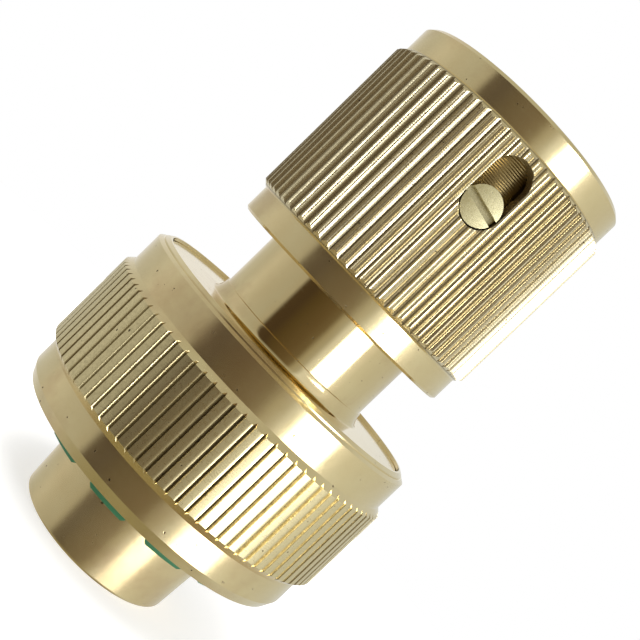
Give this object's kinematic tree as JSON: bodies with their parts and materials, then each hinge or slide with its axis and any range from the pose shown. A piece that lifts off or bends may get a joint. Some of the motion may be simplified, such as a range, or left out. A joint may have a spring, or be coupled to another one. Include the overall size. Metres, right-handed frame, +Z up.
{
  "type": "quick coupling",
  "caption": "Brass quick coupling for a garden hose: knurled release sleeve with guide slots over a ball lock socket, and a knurled nut that clamps a plastic ring on the hose tail.",
  "frame": {"origin": "centre of the open end of the hose tail, on which the coupling stands", "axes": "+Z up the coupling's axis towards the mouth of the socket; -Y faces the camera of the picture; +X is to its right"},
  "size_m": [0.0358, 0.0358, 0.0594],
  "materials": {
    "brass_body": "turned",
    "brass_sleeve": "turned and knurled",
    "brass_nut": "turned and knurled",
    "brass_screw": "turned",
    "ball_steel": "polished",
    "spring_steel": "drawn",
    "seal_rubber": "matt",
    "gasket_rubber": "matt",
    "green_plastic": "moulded"
  },
  "bodies": {
    "body": {"coupling_body": "brass_body", "guide_screw_1": "brass_screw", "guide_screw_2": "brass_screw", "guide_screw_3": "brass_screw", "socket_seal": "seal_rubber", "spring_washer": "spring_steel", "sleeve_spring": "spring_steel", "hose_gasket": "gasket_rubber"},
    "sleeve": {"release_sleeve": "brass_sleeve"},
    "ball_1": {"locking_ball_1": "ball_steel"},
    "ball_2": {"locking_ball_2": "ball_steel"},
    "ball_3": {"locking_ball_3": "ball_steel"},
    "ball_4": {"locking_ball_4": "ball_steel"},
    "ball_5": {"locking_ball_5": "ball_steel"},
    "ball_6": {"locking_ball_6": "ball_steel"},
    "ball_7": {"locking_ball_7": "ball_steel"},
    "ball_8": {"locking_ball_8": "ball_steel"},
    "ball_9": {"locking_ball_9": "ball_steel"},
    "clamp": {"clamp_ring": "green_plastic"},
    "nut": {"hose_nut": "brass_nut"}
  },
  "joints": [
    {"name": "sleeve_slide", "type": "slide", "parent": "body", "child": "sleeve", "axis": [0, 0, -1], "range_m": [0, 0.0033], "stiffness_N_per_m": 250, "springref_m": -0.012, "deforming": ["sleeve_spring"]},
    {"name": "ball_1_slide", "type": "slide", "parent": "body", "child": "ball_1", "axis": [0.5135, -0.8581, 0], "range_m": [0, 0.00075]},
    {"name": "ball_2_slide", "type": "slide", "parent": "body", "child": "ball_2", "axis": [0.9449, -0.3272, 0], "range_m": [0, 0.00075]},
    {"name": "ball_3_slide", "type": "slide", "parent": "body", "child": "ball_3", "axis": [0.9342, 0.3567, 0], "range_m": [0, 0.00075]},
    {"name": "ball_4_slide", "type": "slide", "parent": "body", "child": "ball_4", "axis": [0.4863, 0.8738, 0], "range_m": [0, 0.00075]},
    {"name": "ball_5_slide", "type": "slide", "parent": "body", "child": "ball_5", "axis": [-0.1891, 0.982, 0], "range_m": [0, 0.00075]},
    {"name": "ball_6_slide", "type": "slide", "parent": "body", "child": "ball_6", "axis": [-0.776, 0.6307, 0], "range_m": [0, 0.00075]},
    {"name": "ball_7_slide", "type": "slide", "parent": "body", "child": "ball_7", "axis": [-0.9999, -0.0157, 0], "range_m": [0, 0.00075]},
    {"name": "ball_8_slide", "type": "slide", "parent": "body", "child": "ball_8", "axis": [-0.7559, -0.6547, 0], "range_m": [0, 0.00075]},
    {"name": "ball_9_slide", "type": "slide", "parent": "body", "child": "ball_9", "axis": [-0.1582, -0.9874, 0], "range_m": [0, 0.00075]},
    {"name": "nut_turn", "type": "hinge", "parent": "clamp", "child": "nut", "pos_m": [0, 0, 0.018], "axis": [0, 0, -1], "range_deg": [0, 1080]},
    {"name": "clamp_slide", "type": "slide", "parent": "body", "child": "clamp", "axis": [0, 0, -1], "range_m": [0, 0.0045]}
  ],
  "couplings": [
    {"joint": "ball_1_slide", "follows": "sleeve_slide", "ratio": 0.2273},
    {"joint": "ball_2_slide", "follows": "sleeve_slide", "ratio": 0.2273},
    {"joint": "ball_3_slide", "follows": "sleeve_slide", "ratio": 0.2273},
    {"joint": "ball_4_slide", "follows": "sleeve_slide", "ratio": 0.2273},
    {"joint": "ball_5_slide", "follows": "sleeve_slide", "ratio": 0.2273},
    {"joint": "ball_6_slide", "follows": "sleeve_slide", "ratio": 0.2273},
    {"joint": "ball_7_slide", "follows": "sleeve_slide", "ratio": 0.2273},
    {"joint": "ball_8_slide", "follows": "sleeve_slide", "ratio": 0.2273},
    {"joint": "ball_9_slide", "follows": "sleeve_slide", "ratio": 0.2273},
    {"joint": "clamp_slide", "follows": "nut_turn", "m_per_rad": 0.00023873}
  ]
}
